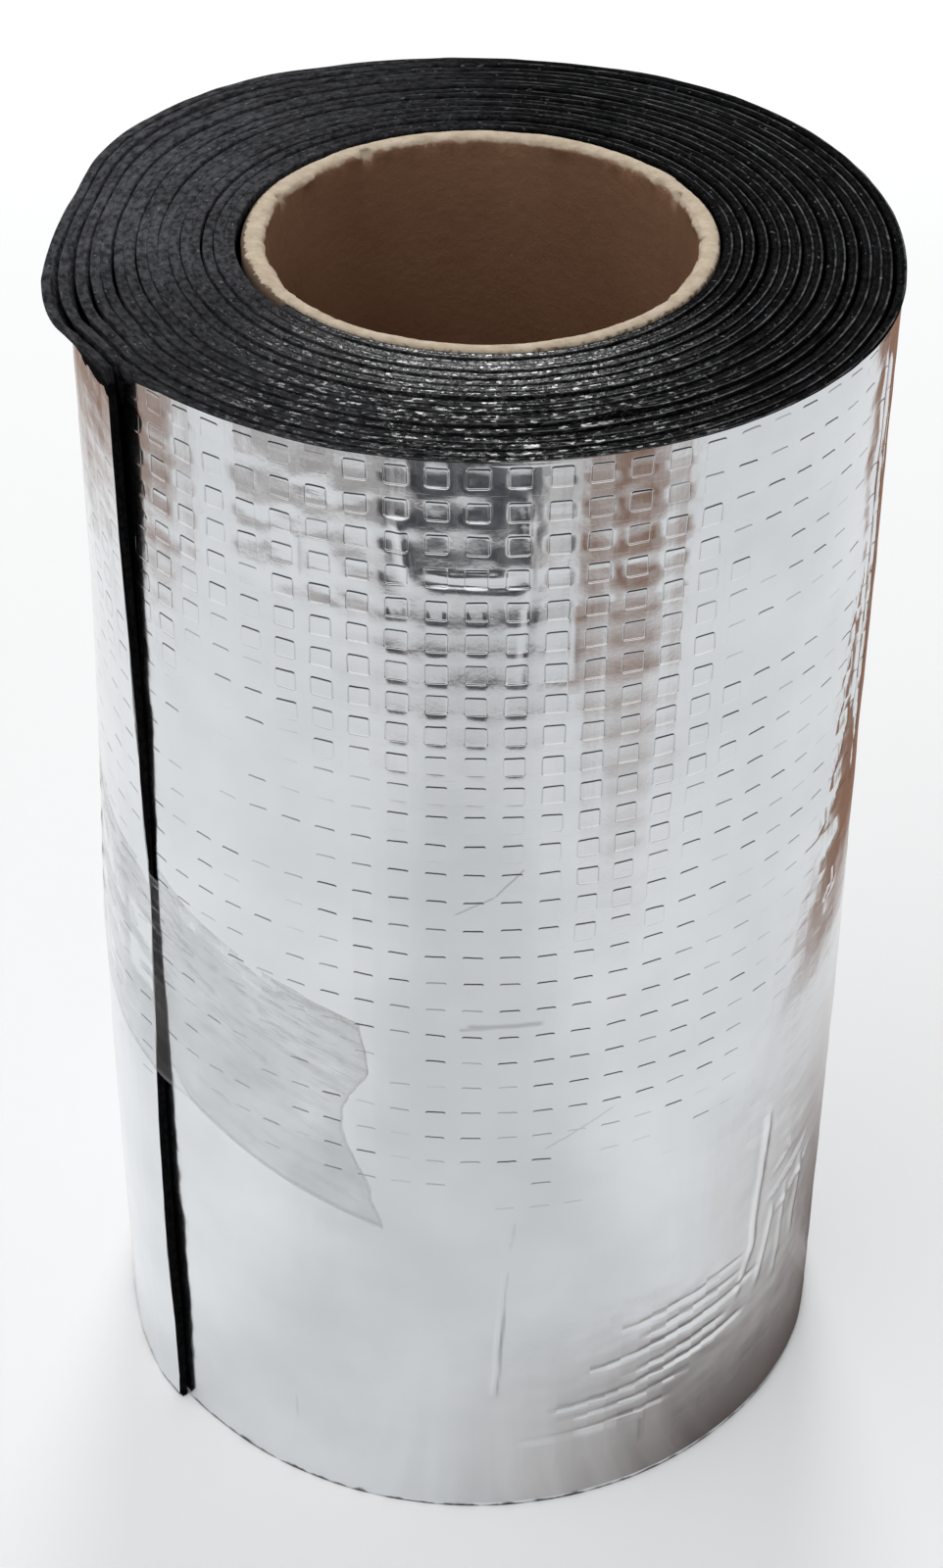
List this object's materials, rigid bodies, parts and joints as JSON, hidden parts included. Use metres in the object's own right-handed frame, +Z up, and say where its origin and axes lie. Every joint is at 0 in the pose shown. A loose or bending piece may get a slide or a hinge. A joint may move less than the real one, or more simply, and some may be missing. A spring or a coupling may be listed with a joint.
{
  "type": "roll of roofing felt",
  "caption": "Standing roll of black bitumen roofing felt with an embossed aluminium foil face, wound on an open paper core, its loose end held by clear tape.",
  "frame": {"origin": "on the axis of the core's bore, at the end the roll stands on", "axes": "+Z up along the bore axis, -Y to the front, with the loose end of the felt at the front left"},
  "size_m": [0.1526, 0.151, 0.25],
  "materials": {
    "cardboard": "matt paper",
    "bitumen_felt": "black bitumen, satin with glossy flecks",
    "aluminium_foil": "bright embossed foil",
    "clear_tape": "clear glossy film"
  },
  "bodies": {
    "root": {"cardboard_core": "cardboard", "felt_roll": "bitumen_felt", "foil_facing": "aluminium_foil", "holding_tape": "clear_tape"}
  },
  "joints": []
}
